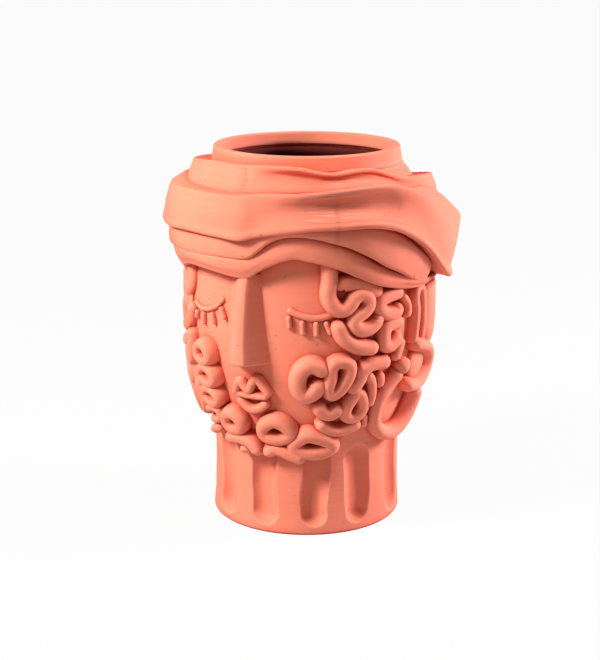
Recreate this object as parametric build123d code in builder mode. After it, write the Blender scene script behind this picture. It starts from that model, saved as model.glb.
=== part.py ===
"""A terracotta flower vase like a head: fluted neck, turban, closed eyes, curled beard, hoop ear rings.

Millimetres, +Z up. The origin is the middle of the underside and the face looks along -Y.
Angles go round the upright axis from the middle of the face, positive towards +X.
Every piece is a clay part that is formed by itself and luted to the shells face to face.
"""
from build123d import *
from math import atan2, cos, degrees, radians, sin
import os

os.makedirs("parts", exist_ok=True)

# Driving dimensions of the shells
neck_height = 86
head_height = 249
collar_height = 15
foot_radius = 89
waist_radius = 87.5
waist_height = 60
chin_radius = 88.5
head_radius = 109
collar_radius = 88
lip_radius = 85.2
wall = 9
floor_thickness = 10
foot_rounding = 2.5
lip_rounding = 2.5

# Flutes round the neck
flute_count = 12
flute_width = 27
flute_depth = 7
flute_foot = 8
flute_length = 78

# Coils of clay: the beard, the ears and the rings in them
coil_width = 12
coil_sink_share = 0.25
lock_width = 16
lock_length = 54
lock_count = 20
lock_pitch = 7.2
lock_gap = 0.6

# The turban reaches from its lower edge over the brow to the collar
turban_foot = 226
turban_height = 120
nape_share = 0.02

# The angle at which round shapes close on themselves, behind the face
seam_angle = 179

# Nose, eyes and mouth
nose_length = 88
nose_root_width = 15
nose_tip_width = 32
nose_ridge_width = 7
nose_height = 20
nose_foot_share = 0.337
eye_level_share = 0.506
mouth_level_share = 0.205
eye_angle = 29
eye_length = 48
lid_width = 3.2
lash_width = 3.2
lash_length = 8.5
lash_height = 2.5
lip_height = 8
lip_length = 39
lip_angle = -3

# Outside of the head: share of the head's height, share of its largest radius
head_profile_shares = (
    (0.056, 0.840),
    (0.137, 0.895),
    (0.217, 0.940),
    (0.297, 0.972),
    (0.398, 0.995),
    (0.498, 1.000),
    (0.618, 0.996),
    (0.739, 0.982),
    (0.859, 0.954),
    (0.948, 0.890),
)

head_outline = (
    [(chin_radius, neck_height)]
    + [(head_radius * r, neck_height + head_height * h) for h, r in head_profile_shares]
    + [(collar_radius, neck_height + head_height)]
)
collar_foot = neck_height + head_height
total_height = collar_foot + collar_height
mouth_radius = collar_radius - wall


def level(share):
    """Height above the base of a place that is a share of the head's height above the neck."""
    return neck_height + head_height * share


def skin_radius(height):
    """Radius of the bare neck or head at a height, by straight lines between the outline's points."""
    if height <= neck_height:
        return chin_radius
    for (r0, z0), (r1, z1) in zip(head_outline, head_outline[1:]):
        if height <= z1:
            return r0 + (r1 - r0) * (height - z0) / (z1 - z0)
    return collar_radius


def around(angle, radius, height):
    """Point at an angle from the middle of the face."""
    return Vector(radius * sin(radians(angle)), -radius * cos(radians(angle)), height)


def skin_plane(angle, share, proud=0):
    """Plane that lies against the skin there: x goes round to the right, y up, z outwards."""
    height = level(share)
    step = coil_width
    lean = degrees(atan2(skin_radius(height + step) - skin_radius(height - step), 2 * step))
    upright = Plane(
        origin=around(angle, skin_radius(height), height),
        x_dir=Vector(cos(radians(angle)), sin(radians(angle)), 0),
        z_dir=around(angle, 1, 0),
    )
    return upright.rotated((lean, 0, 0)).offset(proud)


def upright_plane(angle):
    """Plane through the axis: x points outwards at an angle, y points up."""
    return Plane(origin=(0, 0, 0), x_dir=around(angle, 1, 0), z_dir=around(angle - 90, 1, 0))


# The fluted neck with its floor
with BuildPart() as neck_foot:
    with BuildSketch(upright_plane(seam_angle)):
        with BuildLine():
            outside = Spline((foot_radius, 0), (waist_radius, waist_height), (chin_radius, neck_height))
            Line(outside @ 1, (chin_radius - wall, neck_height))
            inside = Line((chin_radius - wall, neck_height), (waist_radius - wall, waist_height))
            Line(inside @ 1, (foot_radius - wall, floor_thickness))
            Polyline((foot_radius - wall, floor_thickness), (0, floor_thickness), (0, 0), (foot_radius, 0))
        make_face()
    revolve(axis=Axis.Z)
    fillet(neck_foot.edges().filter_by(GeomType.CIRCLE).group_by(Axis.Z)[0], foot_rounding)
    flute_radius = (flute_width**2 / 4 + flute_depth**2) / (2 * flute_depth)
    flute_axis_radius = waist_radius + flute_radius - flute_depth
    with PolarLocations(flute_axis_radius, flute_count, start_angle=-90):
        with Locations((0, 0, flute_foot + flute_length / 2)):
            Cylinder(flute_radius, flute_length - flute_width, mode=Mode.SUBTRACT)
            for end in (1, -1):
                with Locations((0, 0, end * (flute_length - flute_width) / 2)):
                    Sphere(flute_radius, mode=Mode.SUBTRACT)
neck_foot.part.label = "neck_foot"
export_step(neck_foot.part, "parts/neck_foot.step")

# The hollow head: it closes in at the shoulder to carry the collar
with BuildPart() as head_shell:
    with BuildSketch(upright_plane(seam_angle)):
        with BuildLine():
            outside = Spline(head_outline)
            Line(outside @ 1, (mouth_radius, collar_foot))
            inside = Spline([(r - wall, z) for r, z in reversed(head_outline)])
            Line(inside @ 1, outside @ 0)
        make_face()
    revolve(axis=Axis.Z)
head_shell.part.label = "head_shell"
export_step(head_shell.part, "parts/head_shell.step")

# The upright collar with its rounded lip
with BuildPart() as rim_collar:
    with BuildSketch(upright_plane(seam_angle)):
        with BuildLine():
            Polyline(
                (mouth_radius, collar_foot),
                (collar_radius, collar_foot),
                (lip_radius, total_height),
                (mouth_radius, total_height),
                close=True,
            )
        make_face()
    revolve(axis=Axis.Z)
    fillet(rim_collar.edges().filter_by(GeomType.CIRCLE).group_by(Axis.Z)[-1], lip_rounding)
rim_collar.part.label = "rim_collar"
export_step(rim_collar.part, "parts/rim_collar.step")

# The filled vase, which cuts the back of every piece that is luted to it
with BuildPart() as core:
    with BuildSketch(upright_plane(seam_angle)):
        with BuildLine():
            below = Spline((foot_radius, 0), (waist_radius, waist_height), (chin_radius, neck_height))
            above = Spline(head_outline)
            Polyline(above @ 1, (lip_radius, total_height), (0, total_height), (0, 0), below @ 0)
        make_face()
    revolve(axis=Axis.Z)

# Rows of a wrap: angle, then top height, top radius, middle radius, lower height and lower
# radius, as shares of the turban's height above its foot and of the head's largest radius
crown_left_shares = (
    (-1, 0.98, 0.97, 1.02, 0.75, 1.03),
    (-30, 0.98, 0.96, 1.01, 0.74, 1.03),
    (-65, 0.93, 0.95, 1.00, 0.70, 1.02),
    (-100, 0.87, 0.96, 1.00, 0.65, 1.03),
    (-140, 0.77, 0.97, 1.01, 0.60, 1.04),
    (-181, 0.69, 0.98, 1.03, 0.55, 1.06),
)
crown_right_shares = (
    (-1, 0.98, 0.99, 1.03, 0.77, 1.08),
    (20, 0.99, 1.01, 1.05, 0.82, 1.12),
    (40, 0.96, 1.01, 1.06, 0.84, 1.12),
    (57, 0.97, 1.02, 1.06, 0.83, 1.12),
    (75, 0.90, 1.04, 1.07, 0.71, 1.12),
    (95, 0.85, 1.06, 1.09, 0.60, 1.14),
    (115, 0.81, 1.06, 1.10, 0.52, 1.13),
    (150, 0.73, 1.03, 1.07, 0.53, 1.10),
    (179, 0.69, 0.98, 1.03, 0.55, 1.06),
)
main_left_shares = (
    (-1, 0.79, 1.14, 1.20, 0.475, 1.19),
    (-30, 0.79, 1.16, 1.21, 0.475, 1.20),
    (-65, 0.76, 1.15, 1.21, 0.46, 1.20),
    (-100, 0.72, 1.16, 1.22, 0.42, 1.21),
    (-140, 0.68, 1.17, 1.24, 0.35, 1.22),
    (-181, 0.65, 1.19, 1.26, 0.30, 1.24),
)
main_right_shares = (
    (-1, 0.82, 1.15, 1.20, 0.475, 1.19),
    (20, 0.87, 1.17, 1.21, 0.55, 1.22),
    (38, 0.89, 1.18, 1.24, 0.57, 1.26),
    (52, 0.91, 1.18, 1.26, 0.575, 1.27),
    (65, 0.85, 1.19, 1.27, 0.51, 1.28),
    (78, 0.75, 1.20, 1.27, 0.37, 1.28),
    (92, 0.68, 1.21, 1.28, 0.18, 1.27),
    (106, 0.60, 1.22, 1.30, 0.12, 1.26),
    (125, 0.55, 1.22, 1.29, 0.17, 1.25),
    (150, 0.59, 1.21, 1.28, 0.24, 1.24),
    (179, 0.65, 1.19, 1.26, 0.30, 1.24),
)
fold_left_shares = (
    (-1, 0.52, 1.16, 1.18, 0.325, 1.16),
    (-23, 0.52, 1.16, 1.19, 0.31, 1.16),
    (-40, 0.52, 1.16, 1.18, 0.30, 1.15),
    (-65, 0.50, 1.16, 1.17, 0.27, 1.14),
    (-100, 0.46, 1.15, 1.17, 0.22, 1.12),
    (-140, 0.40, 1.14, 1.17, 0.17, 1.10),
    (-181, 0.35, 1.14, 1.17, 0.12, 1.10),
)
brow_left_shares = (
    (-1, 0.36, 1.13, 1.15, 0.18, 1.08),
    (-28, 0.35, 1.13, 1.155, 0.19, 1.08),
    (-45, 0.34, 1.13, 1.14, 0.13, 1.07),
    (-65, 0.31, 1.12, 1.11, 0.08, 1.045),
    (-100, 0.26, 1.12, 1.13, nape_share, 1.12),
    (-140, 0.21, 1.12, 1.13, nape_share, 1.12),
    (-181, 0.16, 1.12, 1.13, nape_share, 1.12),
)
fold_right_shares = (
    (-1, 0.52, 1.16, 1.18, 0.325, 1.16),
    (6, 0.53, 1.16, 1.19, 0.39, 1.16),
    (13, 0.56, 1.17, 1.20, 0.475, 1.17),
    (22, 0.59, 1.17, 1.20, 0.50, 1.17),
    (32, 0.605, 1.17, 1.20, 0.475, 1.17),
    (42, 0.615, 1.18, 1.20, 0.42, 1.17),
)
leaf_shares = (
    (42, 0.615, 1.18, 1.20, 0.42, 1.17),
    (53, 0.62, 1.18, 1.20, 0.32, 1.16),
    (65, 0.55, 1.19, 1.20, 0.20, 1.15),
    (76, 0.44, 1.19, 1.20, 0.12, 1.14),
    (88, 0.28, 1.18, 1.19, 0.07, 1.13),
)
brow_right_shares = (
    (-1, 0.36, 1.13, 1.15, 0.18, 1.08),
    (6, 0.43, 1.14, 1.16, 0.24, 1.10),
    (13, 0.505, 1.14, 1.16, 0.30, 1.11),
    (22, 0.535, 1.14, 1.16, 0.33, 1.12),
    (32, 0.51, 1.14, 1.16, 0.295, 1.12),
    (42, 0.45, 1.14, 1.155, 0.225, 1.11),
    (53, 0.35, 1.13, 1.15, 0.13, 1.10),
    (65, 0.23, 1.12, 1.13, 0.07, 1.09),
    (76, 0.16, 1.11, 1.12, 0.03, 1.08),
    (88, 0.12, 1.10, 1.11, 0.02, 1.07),
)
back_fold_shares = (
    (88, 0.28, 1.18, 1.19, 0.03, 1.11),
    (106, 0.18, 1.17, 1.19, nape_share, 1.12),
    (125, 0.22, 1.17, 1.19, nape_share, 1.12),
    (150, 0.29, 1.15, 1.18, nape_share, 1.12),
    (179, 0.35, 1.14, 1.17, nape_share, 1.12),
)
tail_shares = (
    (88, 0.30, 1.20, 1.255, 0.07, 1.24),
    (98, 0.25, 1.21, 1.26, 0.03, 1.235),
    (108, 0.22, 1.21, 1.255, 0.02, 1.225),
    (118, 0.25, 1.20, 1.24, 0.04, 1.21),
    (128, 0.28, 1.18, 1.21, 0.09, 1.19),
)
wrap_root_share = 0.76
wrap_step = 15


def row_at(rows, angle):
    """The row of a wrap at an angle, between the rows of its table."""
    for before, after in zip(rows, rows[1:]):
        part = (angle - before[0]) / (after[0] - before[0])
        if part <= 1:
            return [a + (b - a) * part for a, b in zip(before, after)]


def wrap(rows, over):
    """A fold of the turban through upright sections, cut by the vase and by the folds over it."""
    spread = rows[-1][0] - rows[0][0]
    count = round(abs(spread) / wrap_step)
    with BuildPart() as fold:
        for index in range(count + 1):
            row = row_at(rows, rows[0][0] + spread * index / count)
            angle, top, top_reach, belly_reach, low, low_reach = row
            top_height = turban_foot + turban_height * top
            low_height = turban_foot + turban_height * low
            root = head_radius * wrap_root_share
            with BuildSketch(upright_plane(angle)):
                with BuildLine():
                    shelf = Line((root, top_height), (head_radius * top_reach, top_height))
                    belly = (head_radius * belly_reach, (top_height + low_height) / 2)
                    sole = Line((head_radius * low_reach, low_height), (root, low_height))
                    Spline(shelf @ 1, belly, sole @ 0)
                    Line(sole @ 1, shelf @ 0)
                make_face()
        loft()
        add(core.part, mode=Mode.SUBTRACT)
        for piece in over:
            add(piece.part, mode=Mode.SUBTRACT)
    return fold


turban = {}
turban["turban_crown_left"] = wrap(crown_left_shares, [])
turban["turban_crown_right"] = wrap(crown_right_shares, [])
turban["turban_main_left"] = wrap(main_left_shares, [turban["turban_crown_left"]])
turban["turban_main_right"] = wrap(main_right_shares, [turban["turban_crown_right"]])
over_right = [turban["turban_main_right"]]
turban["turban_tail"] = wrap(tail_shares, over_right)
turban["turban_fold_left"] = wrap(fold_left_shares, [turban["turban_main_left"]])
turban["turban_fold_right"] = wrap(fold_right_shares, over_right)
turban["turban_leaf"] = wrap(leaf_shares, over_right)
over_right.append(turban["turban_tail"])
turban["turban_fold_back"] = wrap(back_fold_shares, over_right)
turban["turban_brow_left"] = wrap(brow_left_shares, [turban["turban_fold_left"]])
over_right += [turban["turban_fold_right"], turban["turban_leaf"], turban["turban_fold_back"]]
turban["turban_brow_right"] = wrap(brow_right_shares, over_right)
for name, fold in turban.items():
    fold.part.label = name
    export_step(fold.part, "parts/" + name + ".step")


def coil(place_shares, heading, moves, closed=False):
    """A clay coil along straight runs and arcs on a plane against the skin, with round ends.

    The place is an angle, a share of the head's height, and, as shares of the coil width, the
    coil's own width and its start on the plane. A move is a run or a radius in coil widths, and
    a turn in degrees, positive to the left, where 0 goes straight on.
    """
    angle, height_share, width_share, start_across, start_up = place_shares
    width = coil_width * width_share
    plane = skin_plane(angle, height_share, width * (0.5 - coil_sink_share))
    with BuildPart() as clay:
        with BuildLine(plane) as route:
            spot = plane.from_local_coords((coil_width * start_across, coil_width * start_up, 0))
            ahead = plane.x_dir.rotate(Axis((0, 0, 0), plane.z_dir), heading)
            for reach, turn in moves:
                if turn:
                    run = JernArc(spot, ahead, coil_width * reach, turn)
                else:
                    run = Line(spot, spot + ahead * (coil_width * reach))
                spot = run @ 1
                ahead = run % 1
        path = route.wire()
        with BuildSketch(Plane(origin=path @ 0, z_dir=path % 0)):
            Circle(width / 2)
        sweep(path=path)
        if not closed:
            with Locations(path @ 0, path @ 1):
                Sphere(width / 2)
        add(core.part, mode=Mode.SUBTRACT)
    return clay


# Beard and hair: name, then the place, the first heading and the moves of each coil
temple_coils_shares = {
    "strand": (
        (45, 0.558, 1.0, -1.85, 2.75), -90,
        [(2.15, 0), (0.75, 130), (0.9, 0), (0.6, -170), (0.55, 0), (0.6, 170), (0.65, 0)],
    ),
    "cradle": ((46, 0.43, 1.0, -1.27, 1.42), -95, [(1.5, 80), (1.5, 0)]),
    "arch": ((48, 0.61, 0.8, -1.32, -0.18), 60, [(0.2, 0), (1.3, -105), (1.0, 45), (0.5, 0)]),
    "hook": ((63.5, 0.53, 1.0, 0.4, 1.08), 197, [(0.65, 0), (0.63, 200)]),
    "sickle": ((71, 0.505, 0.55, -0.08, 1.08), -40, [(1.3, -55)]),
    "leaf": ((63, 0.42, 0.9, 0.55, 1.08), 170, [(0.75, 100), (0.4, 0), (0.53, 160), (0.15, 0)]),
    "stem": ((70.5, 0.375, 0.55, 0.17, 1.2), -97, [(1.8, 0)]),
}
cheek_coils_shares = {
    "horn": (
        (26, 0.295, 0.95, 0.85, -0.04), 90,
        [(0.25, 0), (0.78, 180), (0.85, 0), (0.78, 120), (0.3, 0)],
    ),
    "petal": ((41, 0.29, 0.87, -0.54, -0.93), 88, [(1.8, 0), (0.5, -180), (1.8, 0), (0.5, -180)]),
    "bough": ((55, 0.32, 0.87, 1.33, 0.19), 172, [(0.75, 0), (1.0, 75), (0.9, 0)]),
    "rib": ((57.5, 0.235, 0.65, 0.07, 0.63), -60, [(1.67, -45)]),
    "cup": ((35, 0.16, 0.87, -0.8, 0.35), -90, [(0.83, 180)]),
    "kernel": ((49, 0.185, 0.87, -0.53, -0.67), 75, [(1.1, 0), (0.5, -180), (1.1, 0), (0.5, -180)]),
    "sweep": ((41, 0.095, 0.87, -2.1, 0.52), -60, [(1.17, 50), (1.67, 0), (3.3, 25)]),
}
chin_coils_shares = {
    "left_ring": (
        (-16, 0.095, 1.05, -0.17, -0.62), 0,
        [(0.33, 0), (0.62, 180), (0.33, 0), (0.62, 180)],
    ),
    "arch": ((-12, 0.0, 1.0, -1.13, -0.25), 70, [(0.75, -70), (1.17, 0), (0.75, -75), (0.67, 0)]),
    "tongue": ((-12, 0.0, 0.75, 0.0, -0.67), -75, [(0.6, 0)]),
    "middle_ring": (
        (10, 0.085, 1.0, -0.29, -0.58), 0,
        [(0.58, 0), (0.58, 180), (0.58, 0), (0.58, 180)],
    ),
    "wave": ((13, -0.024, 1.0, -1.0, 0.08), 30, [(1.0, -55), (1.35, 0)]),
    "right_ring": (
        (31, 0.02, 0.95, -0.76, -0.46), -10,
        [(1.33, 0), (0.58, 180), (1.33, 0), (0.58, 180)],
    ),
}
column_coils_shares = {
    "first": ((-29, 0.35, 0.87, -0.17, -0.47), 0, [(0.33, 0), (0.47, 180), (0.33, 0), (0.47, 180)]),
    "second": ((-28.5, 0.264, 0.8, -0.2, -0.42), 0, [(0.4, 0), (0.42, 180), (0.4, 0), (0.42, 180)]),
    "third": ((-29.5, 0.184, 0.8, -0.2, -0.42), 0, [(0.4, 0), (0.42, 180), (0.4, 0), (0.42, 180)]),
    "fourth": ((-34, 0.106, 0.75, 0.3, 0.4), 180, [(0.25, 0), (0.4, 180), (0.25, 0)]),
    "outer_top": ((-47, 0.30, 0.9, 0.0, 0.9), -95, [(1.1, 0), (2.0, 30), (0.8, 0)]),
    "outer_low": ((-45, 0.12, 0.9, -0.2, 0.9), -85, [(0.6, 0), (2.0, 30), (0.6, 0)]),
    "outer_ring": ((-60, 0.21, 0.9, -0.2, -0.5), 0, [(0.4, 0), (0.5, 180), (0.4, 0), (0.5, 180)]),
}
ear_coils_shares = {
    "rim": ((90.5, 0.46, 0.72, 0.65, -1.9), 91, [(2.85, 0), (0.65, 178), (2.3, 0)]),
    "hoop": ((78, 0.14, 1.25, -0.58, 3.25), -121, [(2.4, 0), (2.42, 211), (1.4, 0)]),
    "lobe": ((93, 0.265, 1.25, -1.75, 2.1), -22, [(2.9, 0), (1.25, -175), (1.5, 0)]),
}
closed_coils = (
    "petal", "kernel", "left_ring", "middle_ring", "right_ring", "first", "second", "third", "outer_ring",
)
hidden_shift = 8


def other_side(place_shares, heading, moves):
    """The mirror image of a coil, a little further round, as the hidden temple has it."""
    angle, height_share, width_share, start_across, start_up = place_shares
    place = (-angle - hidden_shift, height_share, width_share, -start_across, start_up)
    return place, 180 - heading, [(reach, -turn) for reach, turn in moves]


coils = {}
for key, spec in temple_coils_shares.items():
    coils["temple_" + key + "_left"] = (spec, key in closed_coils)
    if key in ("strand", "cradle", "arch", "hook", "leaf"):
        coils["temple_" + key + "_right"] = (other_side(*spec), key in closed_coils)
for group, table in (
    ("cheek", cheek_coils_shares),
    ("chin", chin_coils_shares),
    ("column", column_coils_shares),
):
    for key, spec in table.items():
        coils[group + "_" + key] = (spec, key in closed_coils)



def meets(box, other_box):
    """Whether two boxes overlap."""
    lows = (*box.min, *other_box.min)
    highs = (*other_box.max, *box.max)
    return all(low < high for low, high in zip(lows, highs))


def tuck(piece, over, whole=True):
    """Cut a piece by those pieces over it that it meets; a whole piece drops what a cut splits off."""
    box = piece.part.bounding_box()
    for other, other_box in over:
        if meets(box, other_box):
            with piece:
                add(other.part, mode=Mode.SUBTRACT)
    if whole and len(piece.solids()) > 1:
        largest = piece.solids().sort_by(SortBy.VOLUME)[-1]
        with piece:
            add(largest, mode=Mode.REPLACE)


beard = {}
over_hair = [(fold, fold.part.bounding_box()) for fold in turban.values()]
for name, ((place, heading, moves), closed) in coils.items():
    beard[name] = coil(place, heading, moves, closed=closed)
    tuck(beard[name], over_hair)
    over_hair.append((beard[name], beard[name].part.bounding_box()))


def skin_layer(thickness):
    """The filled vase with a layer of clay on the head, which gives a stamp its even height."""
    with BuildPart() as layer:
        with BuildSketch(upright_plane(seam_angle)):
            with BuildLine():
                face = Spline([(r + thickness, z) for r, z in head_outline])
                Polyline(face @ 1, (0, collar_foot), (0, neck_height), face @ 0)
            make_face()
        revolve(axis=Axis.Z)
    return layer


def stamp(angle, share, layer, outlines, holes=()):
    """Flat shapes pushed out of the head by an even height; outlines are in the skin's plane."""
    plane = skin_plane(angle, share)
    with BuildPart() as clay:
        with BuildSketch(plane):
            for points in outlines:
                with BuildLine():
                    Polyline(points, close=True)
                make_face()
            for points in holes:
                with BuildLine():
                    Polyline(points, close=True)
                make_face(mode=Mode.SUBTRACT)
        extrude(amount=coil_width * 2, both=True)
        add(layer.part, mode=Mode.INTERSECT)
        add(core.part, mode=Mode.SUBTRACT)
    return clay


# Nose: a long wedge with a flat ridge
nose_foot = level(nose_foot_share)
nose_sections = ((nose_foot, nose_tip_width), (nose_foot + nose_length, nose_root_width))
with BuildPart() as nose:
    for height, width in nose_sections:
        with BuildSketch(Plane.XY.offset(height)):
            reach = skin_radius(height)
            with BuildLine():
                Polyline(
                    (-width / 2, -reach),
                    (-nose_ridge_width / 2, -reach - nose_height),
                    (nose_ridge_width / 2, -reach - nose_height),
                    (width / 2, -reach),
                    (width / 2, -reach + wall),
                    (-width / 2, -reach + wall),
                    close=True,
                )
            make_face()
    loft()
    add(core.part, mode=Mode.SUBTRACT)
    for name in ("turban_brow_left", "turban_brow_right", "turban_fold_left", "turban_fold_right"):
        add(turban[name].part, mode=Mode.SUBTRACT)

# Closed eyes: a lid and four lashes each, places as shares of the eye's length
thin_layer = skin_layer(lash_height)
lid_shares = ((-0.5, -0.03), (-0.26, -0.08), (-0.02, -0.06), (0.18, 0.01), (0.35, 0.10), (0.5, 0.22))
lash_shares = ((-0.38, -0.17, -3), (-0.10, -0.12, -4), (0.18, -0.05, 14), (0.40, 0.08, 29))
eyes = {}
for side, name in ((-1, "right"), (1, "left")):
    plane = skin_plane(side * eye_angle, eye_level_share)
    with BuildPart() as lid:
        with BuildSketch(plane):
            with BuildLine():
                Spline(*[(side * eye_length * -x, eye_length * y) for x, y in lid_shares])
            trace(line_width=lid_width)
        extrude(amount=coil_width, both=True)
        add(thin_layer.part, mode=Mode.INTERSECT)
        add(core.part, mode=Mode.SUBTRACT)
    eyes["eyelid_" + name] = lid
    with BuildPart() as lashes:
        for across, up, lean in lash_shares:
            with BuildSketch(plane):
                with Locations((side * eye_length * -across, eye_length * up)):
                    Rectangle(
                        lash_width,
                        lash_length,
                        rotation=-side * lean,
                        align=(Align.CENTER, Align.MAX),
                    )
            extrude(amount=coil_width, both=True)
        add(thin_layer.part, mode=Mode.INTERSECT)
        add(core.part, mode=Mode.SUBTRACT)
    eyes["eyelashes_" + name] = lashes
for name, piece in eyes.items():
    tuck(piece, over_hair, whole=name.startswith("eyelid"))

# Mouth: an upper lip with two peaks over a lower lip like a bowl, both with small openings
lip_layer = skin_layer(lip_height)
upper_lip_shares = (
    (-0.42, -0.09), (-0.30, 0.18), (-0.22, 0.31), (-0.12, 0.27), (-0.03, 0.16),
    (0.06, 0.33), (0.20, 0.44), (0.36, 0.28), (0.58, 0.05), (0.57, -0.03),
)
upper_gap_shares = (
    ((-0.26, 0.06), (-0.18, 0.16), (-0.10, 0.07)),
    ((0.06, 0.08), (0.20, 0.20), (0.27, 0.11)),
)
lower_lip_shares = (
    (-0.40, -0.10), (-0.20, -0.26), (0.05, -0.43),
    (0.20, -0.44), (0.42, -0.32), (0.50, -0.04),
)
lower_gap_shares = (((-0.24, -0.13), (0.02, -0.29), (0.10, -0.10)),)
lips = {}
for name, outline, gaps in (
    ("lip_upper", upper_lip_shares, upper_gap_shares),
    ("lip_lower", lower_lip_shares, lower_gap_shares),
):
    rows = [[(lip_length * x, lip_length * y) for x, y in points] for points in (outline, *gaps)]
    lips[name] = stamp(lip_angle, mouth_level_share, lip_layer, rows[:1], rows[1:])

# Ears with their hoops: the right ones are mirror images
ears = {}
over_ear = []
for key, spec in ear_coils_shares.items():
    ear = coil(*spec)
    tuck(ear, over_ear)
    over_ear.append((ear, ear.part.bounding_box()))
    with BuildPart() as twin:
        add(ear.part.mirror(Plane.YZ))
    for side, piece in (("left", ear), ("right", twin)):
        tuck(piece, over_hair)
        ears["ear_" + key + "_" + side] = piece

# Straight locks of hair side by side round the nape
with BuildPart() as nape_locks:
    lock_top = turban_foot + turban_height * nape_share - lock_gap
    lock_reach = skin_radius(lock_top) + lock_width * (0.5 - coil_sink_share)
    lock_sweep = lock_pitch * lock_count
    lock_start = 90 - (lock_sweep - lock_pitch) / 2
    with PolarLocations(lock_reach, lock_count, start_angle=lock_start, angular_range=lock_sweep):
        with Locations((0, 0, lock_top - lock_length / 2)):
            Cylinder(lock_width / 2, lock_length)
        with Locations((0, 0, lock_top - lock_length)):
            Sphere(lock_width / 2)
    add(core.part, mode=Mode.SUBTRACT)

for table in (turban, beard, eyes, lips, ears, {"nose": nose, "nape_locks": nape_locks}):
    for name, piece in table.items():
        piece.part.label = name
        export_step(piece.part, "parts/" + name + ".step")
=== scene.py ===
"""Looks of the terracotta face vase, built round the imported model.

Metres, +Z up, the face looks along -Y. Working sizes are millimetres times MM.
Angles go round the upright axis from the middle of the face, positive towards +X.
"""
from math import cos, degrees, pi, radians, sin, sqrt

import bmesh
import bpy
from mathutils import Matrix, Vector, noise


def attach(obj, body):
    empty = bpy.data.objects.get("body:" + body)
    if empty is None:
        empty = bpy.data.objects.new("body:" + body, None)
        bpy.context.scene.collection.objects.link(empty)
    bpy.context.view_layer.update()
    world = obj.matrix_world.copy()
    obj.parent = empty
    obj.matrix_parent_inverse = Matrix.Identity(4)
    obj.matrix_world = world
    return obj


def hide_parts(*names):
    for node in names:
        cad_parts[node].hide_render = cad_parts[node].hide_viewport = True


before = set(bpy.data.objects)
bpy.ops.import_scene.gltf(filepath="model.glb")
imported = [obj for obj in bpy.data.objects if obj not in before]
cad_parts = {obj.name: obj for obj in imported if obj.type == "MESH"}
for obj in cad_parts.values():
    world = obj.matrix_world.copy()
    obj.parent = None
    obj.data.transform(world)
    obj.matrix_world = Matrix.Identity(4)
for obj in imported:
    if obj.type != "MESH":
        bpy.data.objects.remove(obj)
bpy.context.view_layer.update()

MM = 0.001

# Levels where the shells meet, the radius of the foot, the wall and the floor
NECK_TOP = 86
HEAD_TOP = 335
FOOT_RADIUS = 89
WALL = 9
FLOOR_THICK = 10

# Outside of the bare vase: height and radius
VASE_PROFILE = (
    (0, FOOT_RADIUS), (30, 88), (60, 87.5), (NECK_TOP, 88.5), (100, 91.5), (120, 97.5), (140, 102.5),
    (160, 106), (185, 108.5), (210, 109), (240, 108.5), (270, 107), (300, 104), (322, 97), (HEAD_TOP, 88),
    (350, 85.2),
)


def curve_at(points, x):
    """Smooth curve through points (x, y, ...) at x, without overshoot beyond the ends."""
    if x <= points[0][0]:
        return list(points[0][1:])
    if x >= points[-1][0]:
        return list(points[-1][1:])
    index = 0
    while points[index + 1][0] < x:
        index += 1
    before, after = points[index], points[index + 1]
    earlier = points[max(index - 1, 0)]
    later = points[min(index + 2, len(points) - 1)]
    gap = after[0] - before[0]
    t = (x - before[0]) / gap
    result = []
    for k in range(1, len(before)):
        chord = (after[k] - before[k]) / gap
        slope_in = (after[k] - earlier[k]) / (after[0] - earlier[0])
        slope_out = (later[k] - before[k]) / (later[0] - before[0])
        if index == 0:
            slope_in = chord
        if index + 2 >= len(points):
            slope_out = chord
        value = (
            before[k] * (2 * t**3 - 3 * t**2 + 1)
            + slope_in * gap * (t**3 - 2 * t**2 + t)
            + after[k] * (3 * t**2 - 2 * t**3)
            + slope_out * gap * (t**3 - t**2)
        )
        result.append(value)
    return result


def skin_radius(height):
    """Radius of the bare outside at a height, in millimetres."""
    return curve_at(VASE_PROFILE, height)[0]


def place(angle, radius, height):
    """Point in metres at an angle from the middle of the face; radius and height in millimetres."""
    a = radians(angle)
    return Vector((radius * sin(a), -radius * cos(a), height)) * MM


def skin_outward(angle, height):
    """Direction out of the bare skin, square to it."""
    reach = 4
    slope = (skin_radius(height + reach) - skin_radius(height - reach)) / (2 * reach)
    a = radians(angle)
    return Vector((sin(a), -cos(a), -slope)).normalized()


# How far apart the patterns of two seeds lie, along each axis
SEED_SHIFT = (7.3, 3.1, 5.7)


def unevenness(point, size, seed=0):
    """Smooth value between about -1 and 1 that varies over a size in millimetres."""
    shift = Vector([seed * part for part in SEED_SHIFT])
    return noise.noise(point / (size * MM) + shift)


def make_piece(name, vertices, faces, nodes, material):
    """Mesh object that rides on the vase and stands for its CAD nodes."""
    mesh = bpy.data.meshes.new(name)
    mesh.from_pydata([tuple(v) for v in vertices], [], faces)
    shaping = bmesh.new()
    shaping.from_mesh(mesh)
    bmesh.ops.recalc_face_normals(shaping, faces=shaping.faces)
    shaping.to_mesh(mesh)
    shaping.free()
    for polygon in mesh.polygons:
        polygon.use_smooth = True
    piece = bpy.data.objects.new(name, mesh)
    bpy.context.scene.collection.objects.link(piece)
    mesh.materials.append(material)
    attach(piece, "root")
    if nodes:
        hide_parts(*nodes)


def grid_faces(rows, columns, closed_rows=False, closed_columns=False):
    """Quads of a grid of rows times columns vertices."""
    faces = []
    for i in range(rows if closed_rows else rows - 1):
        for j in range(columns if closed_columns else columns - 1):
            a = i * columns + j
            b = i * columns + (j + 1) % columns
            c = ((i + 1) % rows) * columns + (j + 1) % columns
            d = ((i + 1) % rows) * columns + j
            faces.append((a, b, c, d))
    return faces


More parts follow.
